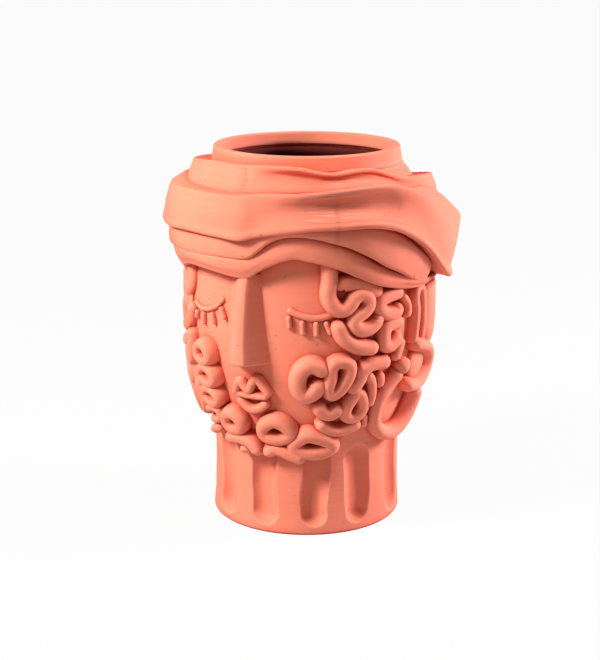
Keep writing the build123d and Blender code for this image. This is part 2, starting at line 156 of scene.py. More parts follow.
def end_faces(rows, columns):
    """The two faces that close a tube made of a grid, at its first row and at its last."""
    return [tuple(range(columns)), tuple(range((rows - 1) * columns, rows * columns))]


def tint(red, green, blue):
    """Colour with full opacity."""
    return (red, green, blue, 1.0)


def grey(level):
    """Grey with full opacity."""
    return tint(level, level, level)


BLACK = grey(0)
WHITE = grey(1)

# Place in metres of the scuffed patch on the wide wrap, which is darkened with painted shade
SCUFF_AND_SHADE_PLACE = (0.071, -0.107, 0.314)

# The mould's seam: its angle, the radius and height of its middle in metres, and the direction across
SEAM_ANGLE = 36.5
SEAM_RADIUS = 0.132
SEAM_HEIGHT = 0.296
SEAM_ACROSS = (cos(radians(SEAM_ANGLE)), sin(radians(SEAM_ANGLE)), 0)
SEAM_PLACE = (
    SEAM_RADIUS * sin(radians(SEAM_ANGLE)), -SEAM_RADIUS * cos(radians(SEAM_ANGLE)), SEAM_HEIGHT,
)


class ClayNodes:
    """Node tree of one clay, with a short call for each kind of node that it uses."""

    def __init__(self, name):
        self.material = bpy.data.materials.new(name)
        self.material.use_nodes = True
        self.nodes = self.material.node_tree.nodes
        self.links = self.material.node_tree.links
        self.shader = self.nodes["Principled BSDF"]
        self.places = self.nodes.new("ShaderNodeTexCoord").outputs["Object"]

    def feed(self, value, socket):
        """Link an output to a socket, or set the socket to a number or a colour."""
        if isinstance(value, (float, tuple)):
            socket.default_value = value
        else:
            self.links.new(value, socket)

    def noise_of(self, squeeze, fineness, detail, roughness=0.5):
        """Noise over the object's own places; a large squeeze along an axis makes it finer there."""
        mapping = self.nodes.new("ShaderNodeMapping")
        mapping.inputs["Scale"].default_value = squeeze
        self.links.new(self.places, mapping.inputs["Vector"])
        texture = self.nodes.new("ShaderNodeTexNoise")
        texture.inputs["Scale"].default_value = fineness
        texture.inputs["Detail"].default_value = detail
        texture.inputs["Roughness"].default_value = roughness
        self.links.new(mapping.outputs["Vector"], texture.inputs["Vector"])
        return texture.outputs["Fac"]

    def ramp(self, value, low, high, low_colour=BLACK, high_colour=WHITE):
        """Colour that runs from one to the other while the value goes from low to high."""
        node = self.nodes.new("ShaderNodeValToRGB")
        for element, position, colour in zip(
            node.color_ramp.elements, (low, high), (low_colour, high_colour),
        ):
            element.position = position
            element.color = colour
        self.links.new(value, node.inputs["Fac"])
        return node.outputs["Color"]

    def fading(self, value, low, high):
        """White up to the low value and black from the high one."""
        return self.ramp(value, low, high, WHITE, BLACK)

    def mix(self, kind, factor, a, b):
        """Two colours mixed in one of Blender's ways."""
        node = self.nodes.new("ShaderNodeMix")
        node.data_type = "RGBA"
        node.blend_type = kind
        for value, socket in ((factor, node.inputs[0]), (a, node.inputs[6]), (b, node.inputs[7])):
            self.feed(value, socket)
        return node.outputs[2]

    def marked(self, kind, colour, mask, share, mark):
        """The colour with marks of another colour where the mask is white, as strong as the share."""
        return self.mix(kind, self.mix("MULTIPLY", 1.0, mask, grey(share)), colour, mark)

    def measured(self, kind, constant):
        """Vector measure between a point of the surface and a constant: a distance or a dot product."""
        node = self.nodes.new("ShaderNodeVectorMath")
        node.operation = kind
        node.inputs[1].default_value = constant
        self.links.new(self.places, node.inputs[0])
        return node.outputs["Value"]

    def bump(self, height, strength, distance, before=None):
        """Relief from a height, laid over the relief before it."""
        node = self.nodes.new("ShaderNodeBump")
        node.inputs["Strength"].default_value = strength
        node.inputs["Distance"].default_value = distance
        self.links.new(height, node.inputs["Height"])
        if before is not None:
            self.links.new(before, node.inputs["Normal"])
        return node.outputs["Normal"]


# Squeeze of the noise: the same all ways, or into level lines that are long, shorter and shortest
EVEN = (1, 1, 1)
LEVEL_LINES = (6, 6, 420)
BRUSH_LINES = (9, 9, 900)
RUB_LINES = (40, 40, 1100)

# How near other clay has to stand, in metres, for a place to get painted shade
PAINTED_SHADE_REACH = 0.014


def clay_body(clay, tone, dark_tone, streaks):
    """Two tones in soft clouds, with fine turning marks."""
    clouds = clay.ramp(clay.noise_of(EVEN, fineness=14, detail=4), 0.35, 0.68)
    colour = clay.mix("MIX", clouds, tone, dark_tone)
    turning = clay.ramp(streaks, 0.3, 0.7, grey(0.42), grey(0.58))
    return clay.mix("SOFT_LIGHT", 0.35, colour, turning)


def clay_marks(clay, colour, pits, pit_share, wear_share):
    """Pale brush lines in places, dark specks and dark pits."""
    brushed = clay.ramp(clay.noise_of(BRUSH_LINES, fineness=1, detail=3, roughness=0.6), 0.60, 0.74)
    brushed_places = clay.ramp(clay.noise_of(EVEN, fineness=9, detail=2), 0.52, 0.62)
    brush_lines = clay.mix("MULTIPLY", 1.0, brushed, brushed_places)
    specks = clay.ramp(clay.noise_of(EVEN, fineness=330, detail=2), 0.70, 0.78)
    colour = clay.marked("SCREEN", colour, brush_lines, 0.09 * wear_share, tint(1.0, 0.75, 0.62))
    colour = clay.marked("MULTIPLY", colour, specks, 0.35, tint(0.55, 0.42, 0.40))
    return clay.marked("MULTIPLY", colour, pits, pit_share, tint(0.35, 0.22, 0.2))


def clay_edges_and_groove_shade(clay, colour, wear_share):
    """Paler worn edges, and painted shade that darkens the grooves, by how pointed the surface is."""
    pointed = clay.nodes.new("ShaderNodeNewGeometry").outputs["Pointiness"]
    worn = clay.ramp(pointed, 0.51, 0.58)
    groove_shade = clay.fading(pointed, 0.41, 0.49)
    colour = clay.marked("SCREEN", colour, worn, 0.22 * wear_share, tint(0.95, 0.62, 0.5))
    # Painted shade: concave places are darkened
    return clay.marked("MULTIPLY", colour, groove_shade, 0.5, tint(0.75, 0.55, 0.5))


def clay_scuff_and_shade(clay, colour):
    """One scuffed patch in front of the wide wrap: painted shade darkens it, and pale rub lines mark it.
    """
    shade_and_rub_patch = clay.fading(clay.measured("DISTANCE", SCUFF_AND_SHADE_PLACE), 0.010, 0.038)
    fine = clay.ramp(clay.noise_of(RUB_LINES, fineness=1, detail=3, roughness=0.6), 0.50, 0.70)
    rub_lines = clay.mix("MULTIPLY", 1.0, shade_and_rub_patch, fine)
    # Painted shade darkens the patch; the pale rub lines are scratches
    colour = clay.marked("MULTIPLY", colour, shade_and_rub_patch, 0.55, tint(0.72, 0.62, 0.60))
    return clay.marked("SCREEN", colour, rub_lines, 0.20, tint(1.0, 0.78, 0.68))


def clay_seam(clay, colour):
    """The faint line of the mould's seam beside the scuffed patch."""
    across = clay.nodes.new("ShaderNodeMath")
    across.operation = "ABSOLUTE"
    clay.links.new(clay.measured("DOT_PRODUCT", SEAM_ACROSS), across.inputs[0])
    line = clay.fading(across.outputs[0], 0.0003, 0.0010)
    near = clay.fading(clay.measured("DISTANCE", SEAM_PLACE), 0.014, 0.030)
    seam = clay.mix("MULTIPLY", 1.0, line, near)
    return clay.marked("MULTIPLY", colour, seam, 0.35, tint(0.55, 0.40, 0.38))


def clay_painted_crevice_shade(clay, colour):
    """Painted shade: deeper, darker red where other clay stands close, as in crevices."""
    crevice_shade_occlusion = clay.nodes.new("ShaderNodeAmbientOcclusion")
    crevice_shade_occlusion.samples = 6
    crevice_shade_occlusion.inputs["Distance"].default_value = PAINTED_SHADE_REACH
    painted_shade_factor = clay.ramp(crevice_shade_occlusion.outputs["AO"], 0.22, 0.80, tint(0.58, 0.24, 0.18), WHITE)
    return clay.mix("MULTIPLY", 1.0, colour, painted_shade_factor)


def clay_relief(clay, streaks, pits):
    """Turning marks, grain, soft waves and pits, each laid over the one before."""
    grain = clay.noise_of(EVEN, fineness=1500, detail=2)
    waves = clay.noise_of(EVEN, fineness=90, detail=3)
    relief = clay.bump(streaks, strength=0.25, distance=0.0006)
    relief = clay.bump(grain, strength=0.20, distance=0.0002, before=relief)
    relief = clay.bump(waves, strength=0.18, distance=0.0010, before=relief)
    return clay.bump(clay.fading(pits, 0, 1), strength=0.5, distance=0.0006, before=relief)


def terracotta(name, tone, dark_tone, pit_share=0.5, wear_share=1.0):
    """Unglazed fired clay: clouded tone, turning marks, pits, worn edges, one scuff and one seam, with
    painted shade in grooves, in crevices and over the scuffed patch.
    """
    clay = ClayNodes(name)
    streaks = clay.noise_of(LEVEL_LINES, fineness=1, detail=5, roughness=0.6)
    pits = clay.ramp(clay.noise_of((1, 1, 1.6), fineness=120, detail=1), 0.77, 0.80)
    colour = clay_body(clay, tone, dark_tone, streaks)
    colour = clay_marks(clay, colour, pits, pit_share, wear_share)
    colour = clay_edges_and_groove_shade(clay, colour, wear_share)
    colour = clay_scuff_and_shade(clay, colour)
    colour = clay_seam(clay, colour)
    # Painted shade in crevices, where other clay stands close
    colour = clay_painted_crevice_shade(clay, colour)
    rough = clay.ramp(clay.noise_of(EVEN, fineness=40, detail=3), 0.3, 0.7, grey(0.70), grey(0.86))
    clay.shader.inputs["Specular IOR Level"].default_value = 0.12
    clay.links.new(colour, clay.shader.inputs["Base Color"])
    clay.links.new(clay_relief(clay, streaks, pits), clay.shader.inputs["Normal"])
    clay.links.new(rough, clay.shader.inputs["Roughness"])
    return clay.material


CLAY = terracotta("clay", tint(0.85, 0.246, 0.152), tint(0.78, 0.208, 0.124))
# Nearly black clay as painted shade for the inside of the hollow head
INSIDE_SHADE_CLAY = terracotta(
    "inside_painted_shade", tint(0.10, 0.010, 0.008), tint(0.06, 0.007, 0.006), wear_share=0.02,
)
COIL_CLAY = terracotta("coil_clay", tint(0.85, 0.244, 0.151), tint(0.78, 0.206, 0.123), pit_share=0.3)


# Flutes round the neck, each scooped by a finger: how many, where the first stands, and their measures
FLUTE_COUNT = 12
FLUTE_START = -1
FLUTE_DEPTH = 8.2
FLUTE_LEVEL = 46.5
FLUTE_HALF_LENGTH = 38.5
FLUTE_HALF_WIDTH = 13.4
FLUTE_WANDER = 0.9
# How flat its bowl is, the degrees each side of its middle that it may reach, and the neck's radius there
FLUTE_FLATNESS = 2.9
FLUTE_REACH = 14
NECK_RADIUS = 88


def flute(index):
    """One flute: angle, middle height, half length, and how far its edges wander."""
    return (
        index * 360 / FLUTE_COUNT + FLUTE_START + 1.5 * sin(index * 2.3),
        FLUTE_LEVEL + sin(index * 1.7),
        FLUTE_HALF_LENGTH + sin(index * 2.9),
        FLUTE_WANDER + 0.5 * sin(index * 1.9),
    )


FLUTES = [flute(index) for index in range(FLUTE_COUNT)]


def flute_depth(angle, height):
    """How deep the neck is scooped at an angle and a height, in millimetres."""
    depth = 0
    for number, (middle, level, half_length, wander) in enumerate(FLUTES):
        turn = (angle - middle + 180) % 360 - 180
        if abs(turn) > FLUTE_REACH:
            continue
        shift = wander * sin(height / 11 + number * 2.1)
        across = radians(turn) * NECK_RADIUS - shift
        half_width = FLUTE_HALF_WIDTH + 0.8 * cos(height / 15 + number * 1.3)
        half_width += 0.4 * sin(height / 6 + number)
        beyond = max(abs(height - level) - (half_length - half_width), 0)
        share = sqrt(across**2 + beyond**2) / half_width
        if share < 1:
            depth = max(depth, FLUTE_DEPTH * (1 - share**FLUTE_FLATNESS))
    return depth


def carve_flutes(angle, height):
    """Change of the neck's radius where a flute is scooped."""
    return -flute_depth(angle, height)


# The innermost ring of points of a body that is closed on the axis; other bodies are rings
CENTRE_RADIUS = 20

# How far a shell strays from a true circle, in millimetres
WOBBLE = 0.28


def lathe(name, outline, columns, nodes, relief=None, material=CLAY):
    """Closed body of revolution; the outline is a list of (radius, height, relief share)."""
    vertices = []
    for radius, height, share in outline:
        for j in range(columns):
            angle = 360 * j / columns - 180
            spot = place(angle, radius, height)
            change = 0
            if radius > CENTRE_RADIUS:
                change = WOBBLE * unevenness(spot, size=60, seed=1)
            if relief and share:
                change += relief(angle, height) * share
            vertices.append(place(angle, radius + change, height))
    faces = grid_faces(len(outline), columns, closed_columns=True)
    last_row = (len(outline) - 1) * columns
    closed_on_axis = outline[0][0] == CENTRE_RADIUS
    if closed_on_axis:
        start_middle = len(vertices)
        end_middle = start_middle + 1
        vertices.append(place(0, 0, outline[0][1]))
        vertices.append(place(0, 0, outline[-1][1]))
    for j in range(columns):
        following = (j + 1) % columns
        if closed_on_axis:
            faces.append((start_middle, j, following))
            faces.append((end_middle, last_row + following, last_row + j))
        else:
            faces.append((j, following, last_row + following, last_row + j))
    make_piece(name, vertices, faces, nodes, material)


def span(start, end, step):
    """Values from start to end, about a step apart, both ends included."""
    count = max(1, int(round(abs(end - start) / step)))
    return [start + (end - start) * k / count for k in range(count + 1)]


def rounded_edge(radius, height, size, start, end, count):
    """Points of a rounded edge round a centre, from one direction in degrees to another."""
    return [
        (radius + size * cos(radians(a)), height + size * sin(radians(a)), 0)
        for a in [start + (end - start) * k / count for k in range(count + 1)]
    ]


# The neck, from the middle of the underside round the outside to the floor inside
FOOT_ROUNDING = 2.8
neck_outline = [(CENTRE_RADIUS, 0, 0), (60, 0, 0), (84, 0, 0)]
neck_outline += rounded_edge(FOOT_RADIUS - FOOT_ROUNDING, FOOT_ROUNDING, FOOT_ROUNDING, -90, 0, 6)[1:]
neck_outline += [(skin_radius(z), z, 1) for z in span(3.6, NECK_TOP - 0.1, 1.1)]
neck_outline += [(skin_radius(NECK_TOP), NECK_TOP, 1)]
neck_outline += [(79.5, NECK_TOP, 0), (78.5, 60, 0), (80, FLOOR_THICK + 2, 0)]
neck_outline += [(60, FLOOR_THICK, 0), (CENTRE_RADIUS, FLOOR_THICK, 0)]
lathe("neck_foot_clay", neck_outline, 900, ["neck_foot"], relief=carve_flutes)

# The hollow head between the jaw and the collar: outside upwards, then inside downwards
INSIDE_LEVELS = (328, 322, 310, 290, 250, 200, 150, 120)
head_outline = [(skin_radius(NECK_TOP), NECK_TOP, 1)]
head_outline += [(skin_radius(z), z, 1) for z in span(NECK_TOP + 0.1, HEAD_TOP, 2.5)]
head_outline += [(skin_radius(z) - WALL, z, 0) for z in (HEAD_TOP, *INSIDE_LEVELS, 100, NECK_TOP)]
lathe("head_shell_clay", head_outline, 360, ["head_shell"])

# Painted shade: a nearly black lining just inside the wall, which shows through the mouth as the dark of
# the hollow
shade_lining_levels = (HEAD_TOP + 0.5, *INSIDE_LEVELS, 102)
shade_lining_outline = [(skin_radius(z) - WALL - 0.5, z, 0) for z in shade_lining_levels]
shade_lining_outline += [(skin_radius(z) - WALL + 3, z, 0) for z in reversed(shade_lining_levels)]
lathe("inside_painted_shade", shade_lining_outline, 240, [], material=INSIDE_SHADE_CLAY)

# The collar: its wall leans in, and its lip is rounded over
MOUTH_RADIUS = 79
collar_outline = [(88, HEAD_TOP, 0), (87.4, 338, 0), (86.7, 342, 0), (86.0, 346, 0)]
collar_outline += rounded_edge(83.9, 347.9, 2.0, 8, 90, 6)
collar_outline += rounded_edge(80.6, 348.4, 1.5, 90, 180, 5)
collar_outline += [(MOUTH_RADIUS, 346, 0), (MOUTH_RADIUS, 342, 0), (79.2, 339.2, 0), (80.4, 338.0, 0)]
collar_outline += [(82, 337.4, 0), (82.5, HEAD_TOP, 0)]
lathe("rim_collar_clay", collar_outline, 360, ["rim_collar"])


def soften(points, rounds):
    """Corner cutting: an open run of points becomes a smooth one."""
    for _ in range(rounds):
        cut = [points[0]]
        for a, b in zip(points, points[1:]):
            cut.append(tuple(p * 0.75 + q * 0.25 for p, q in zip(a, b)))
            cut.append(tuple(p * 0.25 + q * 0.75 for p, q in zip(a, b)))
        cut.append(points[-1])
        points = cut
    return points


# Degrees between two sections of a fold, and how deep its root may lie, so that it stays in the wall
FOLD_STEP = 1.25
ROOT_DEPTH = 5

# Hand work on a fold, in millimetres: broad and fine changes outwards, and changes upwards
BROAD_CHANGE = 0.55
FINE_CHANGE = 0.22
UPWARD_CHANGE = 0.3


def fold(name, rows, nodes, shape, around_all=False, seed=0):
    """A wrap of the turban.

    A row is an angle and the section's measures there. The shape turns the measures into a run of
    (radius, height) from the root above to the root below.
    """
    angles = span(rows[0][0], rows[-1][0], FOLD_STEP)
    if around_all:
        angles = angles[:-1]
    vertices = []
    for angle in angles:
        section = soften(shape(*curve_at(rows, angle)), rounds=3)
        for radius, height in section:
            radius = max(radius, skin_radius(height) - ROOT_DEPTH)
            spot = place(angle, radius, height)
            swell = BROAD_CHANGE * unevenness(spot, 34, seed)
            swell += FINE_CHANGE * unevenness(spot, 12, seed + 1)
            rise = UPWARD_CHANGE * unevenness(spot, 30, seed + 2)
            vertices.append(place(angle, radius + swell, height + rise))
    faces = grid_faces(len(angles), len(section), closed_rows=around_all, closed_columns=True)
    if not around_all:
        faces += end_faces(len(angles), len(section))
    make_piece(name, vertices, faces, nodes, CLAY)


def crown_section(top, top_reach, belly_reach, low, low_reach):
    """Upper tier: a nearly flat shelf that meets the collar, a soft edge and a face that flares."""
    middle = (top + low) / 2
    return [
        (80, top - 5), (88, top - 3.5), (top_reach - 7, top - 1.2), (top_reach - 1.6, top + 0.2),
        (top_reach, top - 1.0), (top_reach + 0.4, top - 3.6), (belly_reach, middle + 3),
        (low_reach, low + 2), (low_reach - 2, low - 1), (92, low - 3),
    ]


def main_section(top, top_reach, belly_reach, low, low_reach, valley_reach, shelf, roll):
    """Wide wrap: a shelf from the valley out to a soft edge, a hollowed face and a rolled hem."""
    return [
        (92, top + shelf - 5), (valley_reach - 3, top + shelf - 2), (valley_reach + 3, top + shelf),
        (top_reach - 3.2, top + shelf * 0.14), (top_reach - 0.2, top - 0.8), (top_reach + 1.2, top - 4.5),
        (belly_reach, top * 0.55 + low * 0.45), (low_reach - 0.6 - 1.2 * roll, low + 8.5),
        (low_reach - 1.2 * roll, low + 6.6), (low_reach + 0.8, low + 4.2), (low_reach + 0.2, low + 0.8),
        (low_reach - 3, low - 0.4), (low_reach - 8, low + 1.5), (100, low + 4),
    ]


def under_section(top, top_reach, belly_reach, low, low_reach):
    """Lower fold: it comes out under the wrap above and turns in at its lower edge."""
    return [
        (98, top), (top_reach, top), (belly_reach, top * 0.45 + low * 0.55),
        (low_reach + 0.9, low + 3.4), (low_reach - 0.4, low + 0.5), (low_reach - 3.4, low - 0.4),
        (low_reach - 8, low + 1.6), (98, low + 3),
    ]


# Rows of the wraps: angle, then top height and radius, middle radius, low height and radius
CROWN_LEFT = (
    (-181, 308, 107, 112, 290, 116), (-140, 318, 106, 110, 296, 113), (-100, 331, 105, 109, 304, 112),
    (-65, 337.5, 104, 107.5, 311, 112), (-40, 342, 105, 108.5, 315, 114),
    (-25, 344, 105, 109, 316, 115), (-12, 343.8, 105, 109.2, 317, 115.5),
    (-6, 343, 105, 109.5, 317, 116), (-2.5, 342.5, 103.6, 107.8, 317, 114.5),
    (0, 342, 101, 104, 317, 112),
)
CROWN_RIGHT = (
    (-12, 343, 102.5, 106.6, 318, 114), (-5, 343.5, 104, 107.4, 318, 114.8),
    (-1, 344, 105.4, 107.4, 318, 115), (7, 345, 107.8, 105.5, 320, 113.5),
    (21, 344.5, 109.5, 102.5, 322, 113), (30, 341, 109.5, 104.5, 322, 114),
    (37, 339.5, 110, 105.5, 323, 115), (43, 340.5, 110.5, 106.5, 324, 116),
    (50, 342, 111, 107, 325, 117), (57, 341, 111, 108, 324, 118), (65, 336.5, 112, 110, 318, 119),
    (75, 331, 113, 113, 309, 120), (95, 327.5, 114.5, 116.5, 300, 122),
    (115, 323.5, 115.5, 119.5, 296, 122), (130, 319, 114, 118, 292, 121),
    (150, 313, 112, 116, 290, 120), (180, 308, 107, 112, 290, 116),
)
# The wide wrap's rows end with the valley's radius, the shelf's rise to the valley and the hem's roll
MAIN = (
    (-181, 304, 130, 135, 264, 135, 112, 10, 0.3), (-140, 308, 128, 133, 269, 133, 111, 9, 0.2),
    (-100, 313, 126.5, 131, 277, 132, 110, 8, 0), (-65, 317, 125, 129.5, 281, 132.3, 109, 7, 0),
    (-45, 319, 126, 130, 281, 132, 110, 3, 0), (-30, 320.5, 126.5, 130.5, 283.5, 132, 111, 1, 0),
    (-10, 320.5, 127, 131.5, 283, 132.5, 111, 0.5, 0), (-1, 322, 129.5, 134, 282.5, 135, 111, 0, 0),
    (6, 324.5, 128, 130, 286, 132.2, 111, -4, 0), (16, 325.5, 128.5, 126, 290, 132, 111, -8, 0.3),
    (27, 327, 130.5, 123, 293, 133.5, 112, -10, 0.9),
    (38, 329.5, 132.5, 122.5, 294, 136, 112, -11, 1.2),
    (49, 331.5, 133.5, 124, 294.5, 138, 113, -10, 1.2), (58, 331, 134, 127, 291, 139, 114, -7, 1.2),
    (65, 327, 134, 131.5, 284, 139.5, 114, -3, 1.2), (75, 319, 134.5, 134.5, 270, 139, 115, 3, 1.1),
    (85, 311, 133, 139.5, 251, 138.5, 116, 10, 1), (94, 303, 136, 140.5, 238, 137.5, 117, 14, 1),
    (104, 293, 140, 140.5, 230.5, 136, 118, 18, 1), (115, 287, 141.5, 139.5, 229, 135, 118, 19, 1),
    (125, 290, 138, 139, 234, 135, 117, 16, 0.8), (137, 294, 135, 138, 246, 135, 115, 14, 0.5),
    (150, 298, 133, 137, 255, 135, 114, 12, 0.4), (179, 304, 130, 135, 264, 135, 112, 10, 0.3),
)
UPPER_FOLD = (
    (-181, 274, 124, 127.5, 244, 123), (-140, 280, 124, 127.5, 250, 123),
    (-100, 286, 124.5, 127.5, 255, 125), (-65, 290, 125, 127.4, 258.5, 126.5),
    (-45, 291, 126, 128, 262, 126.5), (-23, 291, 126.5, 128.5, 263.5, 127),
    (-12, 291, 126.5, 128.5, 264.5, 127), (-1, 291, 126, 128, 265, 126.5),
    (2, 292, 126, 128, 267, 126.5), (6, 295, 126.5, 128.5, 273.5, 127),
    (10, 297, 126.5, 129, 280.5, 128), (15, 299, 127, 129, 285.5, 128), (20, 300, 127, 129, 287, 128),
    (25, 301, 127, 129, 286.5, 128), (30, 302, 127, 129.5, 284.5, 128),
    (35, 303, 127, 130, 281.5, 128.5), (41, 303, 127.5, 130.5, 277.5, 129),
    (46, 302, 128, 131, 272.5, 129), (52, 300, 128.5, 131, 265.5, 129),
    (58, 296, 129, 131, 257.5, 128.5), (65, 289, 130, 131, 250.5, 128), (76, 272, 131, 130.5, 239, 126),
    (84, 258, 130, 129, 234, 124), (89, 250, 122, 121, 233, 117),
)
BROW_FOLD = (
    (-181, 250, 122, 123, 228, 118), (-140, 255, 122, 123, 228.5, 117),
    (-100, 262, 123, 122.5, 230, 116), (-65, 266, 125, 121.5, 236, 114.5),
    (-45, 268, 126, 124.5, 244, 119), (-37, 269, 126, 126, 249, 121),
    (-28, 269, 126, 126.5, 250, 121.5), (-18, 269, 126, 126.5, 249, 121.5),
    (-7, 269, 125.5, 126, 247, 121), (-1, 270, 124.5, 125.5, 247, 120.5), (2, 272, 123, 125, 250, 121),
    (6, 279, 121.5, 124.5, 255.5, 121.5), (12, 288, 121, 124.5, 261.5, 122),
    (17, 291, 121, 124.5, 265.5, 122.5), (21, 291.5, 121, 125, 266.5, 122.5),
    (26, 291, 121, 125, 264.5, 123), (31, 288, 121, 125, 262, 123), (37, 284, 121, 125, 258, 123),
    (47, 274, 121, 124.5, 248.5, 122.5), (57, 261, 121, 124, 239.5, 122),
    (68, 250, 122, 124, 233.5, 121), (76, 243, 125, 125, 231, 121), (86, 240, 124, 124, 229, 120),
    (96, 238, 122, 123, 228.5, 119), (125, 240, 121, 122, 228, 118), (150, 245, 121.5, 122.5, 228, 118),
    (179, 250, 122, 123, 228, 118),
)
fold("turban_crown_left_clay", CROWN_LEFT, ["turban_crown_left"], crown_section, seed=3)
fold("turban_crown_right_clay", CROWN_RIGHT, ["turban_crown_right"], crown_section, seed=4)
fold(
    "turban_main_clay", MAIN, ["turban_main_left", "turban_main_right", "turban_tail"],
    main_section, around_all=True, seed=5,
)
fold(
    "turban_upper_fold_clay", UPPER_FOLD, ["turban_fold_left", "turban_fold_right", "turban_leaf"],
    under_section, seed=6,
)
fold(
    "turban_brow_clay", BROW_FOLD, ["turban_brow_left", "turban_brow_right", "turban_fold_back"],
    under_section, around_all=True, seed=7,
)


def route(points, step, closed=False):
    """Evenly spaced places along a smooth run through (angle, height, ...) points."""
    if closed:
        points = list(points[-2:]) + list(points) + list(points[:3])
    lengths = [0.0]
    for a, b in zip(points, points[1:]):
        across = radians(b[0] - a[0]) * skin_radius((a[1] + b[1]) / 2)
        lengths.append(lengths[-1] + sqrt(across**2 + (b[1] - a[1]) ** 2))
    table = [(s, *p) for s, p in zip(lengths, points)]
    start, end = (lengths[2], lengths[-3]) if closed else (0, lengths[-1])
    places = [curve_at(table, s) for s in span(start, end, step)]
    return places[:-1] if closed else places


# Coils: step along the run, points over the top, how round the top's edges are, and how its flanks swell
COIL_STEP = 0.9
COIL_ACROSS = 17
COIL_ROUNDNESS = 2.1
COIL_BULGE = 0.04

# Shares of the full size: the smallest one at a tip, the height kept there, and the width at the root
TIP_SIZE = 0.06
TIP_HEIGHT = 0.25
ROOT_WIDTH = 0.9

# Hand work on a coil: change of the width as a share, of the height and the surface in millimetres
WIDTH_CHANGE = 0.05
HEIGHT_CHANGE = 0.35
SURFACE_CHANGE = 0.12


def coil_line(points, closed):
    """Places in metres along a run on the skin, and the direction out of the skin at each."""
    points = [tuple(p) + (0,) * (3 - len(p)) for p in points]
    spots, outs = [], []
    for angle, level, lift in route(points, COIL_STEP, closed):
        spots.append(place(angle, skin_radius(level) + lift, level))
        outs.append(skin_outward(angle, level))
    return spots, outs


def tip_sizes(spots, reach):
    """Share of the full size at each place of an open run, so that both ends are round."""
    walked = [0.0]
    for a, b in zip(spots, spots[1:]):
        walked.append(walked[-1] + (b - a).length / MM)
    sizes = []
    for distance in walked:
        near = min(distance, walked[-1] - distance) / reach
        size = sqrt(max(1 - (1 - near) ** 2, 0)) if near < 1 else 1.0
        sizes.append(max(size, TIP_SIZE))
    return sizes


def coil_section(spot, side, out, half, tall, flat, sink, seed):
    """Round top of a coil from one edge to the other, then its two corners under the skin."""
    section = []
    for k in range(COIL_ACROSS):
        u = cos(pi * (1 - k / (COIL_ACROSS - 1)))
        rise = tall * max(1 - abs(u) ** flat, 0) ** (1 / COIL_ROUNDNESS)
        bulge = 1 + COIL_BULGE * sin(pi * min(rise / max(tall, 0.1), 1))
        point = spot + side * (u * half * bulge * MM) + out * (rise * MM)
        point += out * (SURFACE_CHANGE * unevenness(point, 7, seed) * MM)
        section.append(point)
    section.append(spot + side * (half * ROOT_WIDTH * MM) - out * (sink * MM))
    section.append(spot - side * (half * ROOT_WIDTH * MM) - out * (sink * MM))
    return section


def coil(
    name, points, width, height, nodes,
    closed=False, sink=4, flat=2.8, seed=0, material=COIL_CLAY,
):
    """Clay coil on the skin: smooth run, flattened round top, round ends. A point may carry a lift."""
    spots, outs = coil_line(points, closed)
    total = len(spots)
    sizes = [1.0] * total if closed else tip_sizes(spots, width / 2)
    vertices = []
    for i, (spot, out, size) in enumerate(zip(spots, outs, sizes)):
        before = spots[i - 1] if closed or i else spots[0]
        after = spots[(i + 1) % total] if closed or i < total - 1 else spots[-1]
        along = (after - before).normalized()
        side = along.cross(out).normalized()
        out = side.cross(along).normalized()
        half = width / 2 * size * (1 + WIDTH_CHANGE * unevenness(spot, 20, seed))
        tall = height + HEIGHT_CHANGE * unevenness(spot, 16, seed + 3)
        tall *= TIP_HEIGHT + (1 - TIP_HEIGHT) * size
        vertices += coil_section(spot, side, out, half, tall, flat, sink, seed + 5)
    count = COIL_ACROSS + 2
    faces = grid_faces(total, count, closed_rows=closed, closed_columns=True)
    if not closed:
        faces += end_faces(total, count)
    make_piece(name, vertices, faces, nodes, material)


def mirrored(points, shift):
    """The same run on the hidden side of the head, shifted further round by some degrees."""
    return [(-p[0] - shift, *p[1:]) for p in points]


def curls(group, table, first_seed):
    """A group of curls; the table gives width, height, whether the run closes on itself, and the run."""
    for number, (key, (width, height, closed, run)) in enumerate(table.items()):
        node = "%s_%s" % (group, key)
        coil(node + "_clay", run, width, height, [node], closed=closed, seed=first_seed + number)


# Temple curls: name, width, height and run
TEMPLE = {
    "strand": (15, 11, [
        (34.8, 266), (35.3, 252), (35.2, 243), (34.6, 234), (35.8, 226), (38.8, 220.5), (42, 220),
        (44.7, 224), (46.6, 229), (49.6, 232), (52.8, 228.6), (53.4, 222), (51, 216.5), (47.6, 212.5),
        (46.2, 207.5), (48.6, 201.5), (52.6, 200.5), (56.1, 203.5), (57.8, 208.5), (56.8, 213.2),
    ]),
    "cradle": (15, 11, [
        (39.2, 211), (39.6, 203), (42, 193.8), (46.2, 187.2), (51, 184), (56.5, 182.3), (59, 181),
    ]),
    "arch": (16, 9, [
        (39, 236), (40.1, 241), (43.4, 243), (47.5, 242.5), (52, 239.5), (56.5, 234.5), (61.5, 232),
    ]),
    "hook": (14.2, 10.5, [
        (73.4, 229), (68.7, 228.3), (63.8, 227), (60.2, 224), (59.3, 218), (62.1, 212.3), (66.9, 210.5),
        (69.8, 213), (68.4, 217.5),
    ]),
    "sickle": (8.5, 9, [(73, 225.5), (76.5, 217.5), (77.5, 210), (76, 203)]),
    "leaf": (14, 10.5, [
        (73.8, 199.2), (67.8, 201.5), (63, 198.5), (62, 190), (62.8, 183.2), (65.8, 181.5),
        (69.3, 185.2), (73, 189.5),
    ]),
    "stem": (11.5, 9.5, [(73.4, 187), (72.2, 179), (70.8, 170.5), (69.9, 165)]),
}
